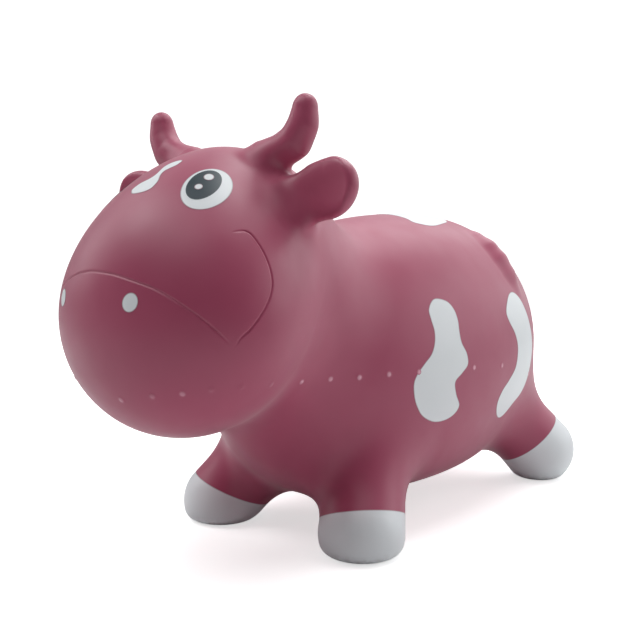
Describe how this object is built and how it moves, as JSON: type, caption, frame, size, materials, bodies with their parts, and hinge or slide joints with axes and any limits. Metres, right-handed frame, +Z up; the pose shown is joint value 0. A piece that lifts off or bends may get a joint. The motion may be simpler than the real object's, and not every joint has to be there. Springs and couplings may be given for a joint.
{
  "type": "bouncy ride on animal",
  "caption": "Blow-up ride-on cow of soft pink vinyl with white patches, short splayed legs that give when bounced on, bendy horns and ears, and a plugged air valve.",
  "frame": {"origin": "on the floor, under the middle of the cow's length and width", "axes": "+Z up, -Y the way the cow looks, +X its left side"},
  "size_m": [0.255, 0.5664, 0.3657],
  "materials": {
    "pink_vinyl": "satin",
    "white_paint": "satin",
    "slate_paint": "satin",
    "valve_vinyl": "satin"
  },
  "bodies": {
    "cow": {"trunk_skin": "pink_vinyl", "head_skin": "pink_vinyl", "tail": "pink_vinyl", "eye_white_left": "white_paint", "eye_white_right": "white_paint", "pupil_left": "slate_paint", "pupil_right": "slate_paint", "eye_glint_large_left": "white_paint", "eye_glint_large_right": "white_paint", "eye_glint_small_left": "white_paint", "eye_glint_small_right": "white_paint", "nostril_left": "white_paint", "nostril_right": "white_paint", "forehead_patch": "white_paint", "back_patch": "white_paint", "flank_patch_left": "white_paint", "flank_patch_right": "white_paint", "rump_patch_left": "white_paint", "rump_patch_right": "white_paint", "valve_collar": "valve_vinyl"},
    "front_left_leg": {"leg_front_left": "pink_vinyl", "hoof_front_left": "white_paint"},
    "front_right_leg": {"leg_front_right": "pink_vinyl", "hoof_front_right": "white_paint"},
    "rear_left_leg": {"leg_rear_left": "pink_vinyl", "hoof_rear_left": "white_paint"},
    "rear_right_leg": {"leg_rear_right": "pink_vinyl", "hoof_rear_right": "white_paint"},
    "left_horn": {"horn_left": "pink_vinyl"},
    "right_horn": {"horn_right": "pink_vinyl"},
    "left_ear": {"ear_left": "pink_vinyl"},
    "right_ear": {"ear_right": "pink_vinyl"},
    "plug": {"valve_plug": "valve_vinyl"}
  },
  "joints": [
    {"name": "front_left_bounce", "type": "slide", "parent": "cow", "child": "front_left_leg", "axis": [-0.3126, 0.584, 0.7491], "range_m": [0, 0.012], "stiffness_N_per_m": 4000, "springref_m": -0.003},
    {"name": "front_right_bounce", "type": "slide", "parent": "cow", "child": "front_right_leg", "axis": [0.3126, 0.584, 0.7491], "range_m": [0, 0.012], "stiffness_N_per_m": 4000, "springref_m": -0.003},
    {"name": "rear_left_bounce", "type": "slide", "parent": "cow", "child": "rear_left_leg", "axis": [-0.3553, -0.6074, 0.7105], "range_m": [0, 0.012], "stiffness_N_per_m": 4000, "springref_m": -0.003},
    {"name": "rear_right_bounce", "type": "slide", "parent": "cow", "child": "rear_right_leg", "axis": [0.3553, -0.6074, 0.7105], "range_m": [0, 0.012], "stiffness_N_per_m": 4000, "springref_m": -0.003},
    {"name": "left_horn_bend", "type": "hinge", "parent": "cow", "child": "left_horn", "pos_m": [0.04965, -0.14933, 0.32607], "axis": [1, 0, 0], "range_deg": [-10, 10], "stiffness_Nm_per_rad": 0.4},
    {"name": "right_horn_bend", "type": "hinge", "parent": "cow", "child": "right_horn", "pos_m": [-0.04965, -0.14933, 0.32607], "axis": [1, 0, 0], "range_deg": [-10, 10], "stiffness_Nm_per_rad": 0.4},
    {"name": "left_ear_bend", "type": "hinge", "parent": "cow", "child": "left_ear", "pos_m": [0.07852, -0.1515, 0.28839], "axis": [0, 0, 1], "range_deg": [-12, 12], "stiffness_Nm_per_rad": 0.4},
    {"name": "right_ear_bend", "type": "hinge", "parent": "cow", "child": "right_ear", "pos_m": [-0.07852, -0.1515, 0.28839], "axis": [0, 0, 1], "range_deg": [-12, 12], "stiffness_Nm_per_rad": 0.4},
    {"name": "valve_plug_pull", "type": "slide", "parent": "cow", "child": "plug", "axis": [0, 0.793, -0.6093], "range_m": [0, 0.015]}
  ]
}
